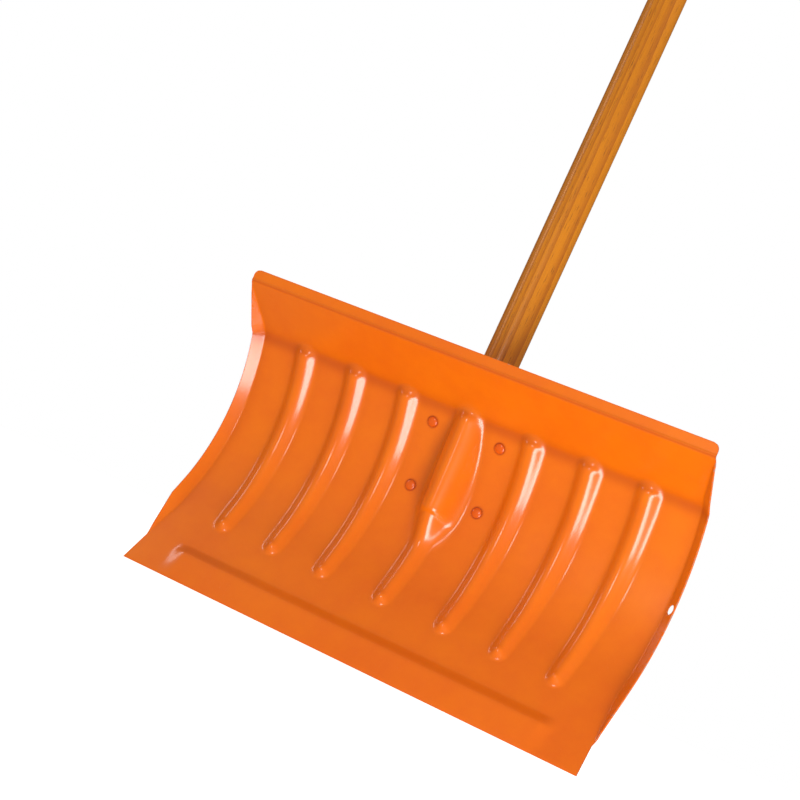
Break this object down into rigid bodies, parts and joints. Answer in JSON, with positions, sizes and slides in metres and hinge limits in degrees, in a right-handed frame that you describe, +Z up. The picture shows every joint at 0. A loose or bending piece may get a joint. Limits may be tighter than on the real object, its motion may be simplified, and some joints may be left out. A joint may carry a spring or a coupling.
{
  "type": "snow shovel",
  "caption": "Snow shovel with a wide ribbed steel scoop blade, folded sides and top lip, riveted socket strap and straight wooden pole.",
  "frame": {"origin": "on the ground under the middle of the whole shovel, which stands upright on its cutting edge: midway across the blade and midway between the open front and the back of the socket strap", "axes": "+X across the blade to the side with the hanging hole, +Y from the open front of the scoop to its back, +Z up along the pole"},
  "size_m": [0.463, 0.0808, 1.3503],
  "materials": {
    "blade_paint": "glossy orange paint on pressed steel sheet",
    "strap_paint": "glossy orange paint on pressed steel strap",
    "rivet_paint": "steel rivet painted over with the blade",
    "pole_wood": "varnished golden brown hardwood",
    "screw_steel": "bright zinc plated steel"
  },
  "bodies": {
    "root": {"blade": "blade_paint", "socket_strap": "strap_paint", "pole": "pole_wood", "pole_screw": "screw_steel", "rivet_upper_left": "rivet_paint", "rivet_upper_right": "rivet_paint", "rivet_lower_left": "rivet_paint", "rivet_lower_right": "rivet_paint"}
  },
  "joints": []
}
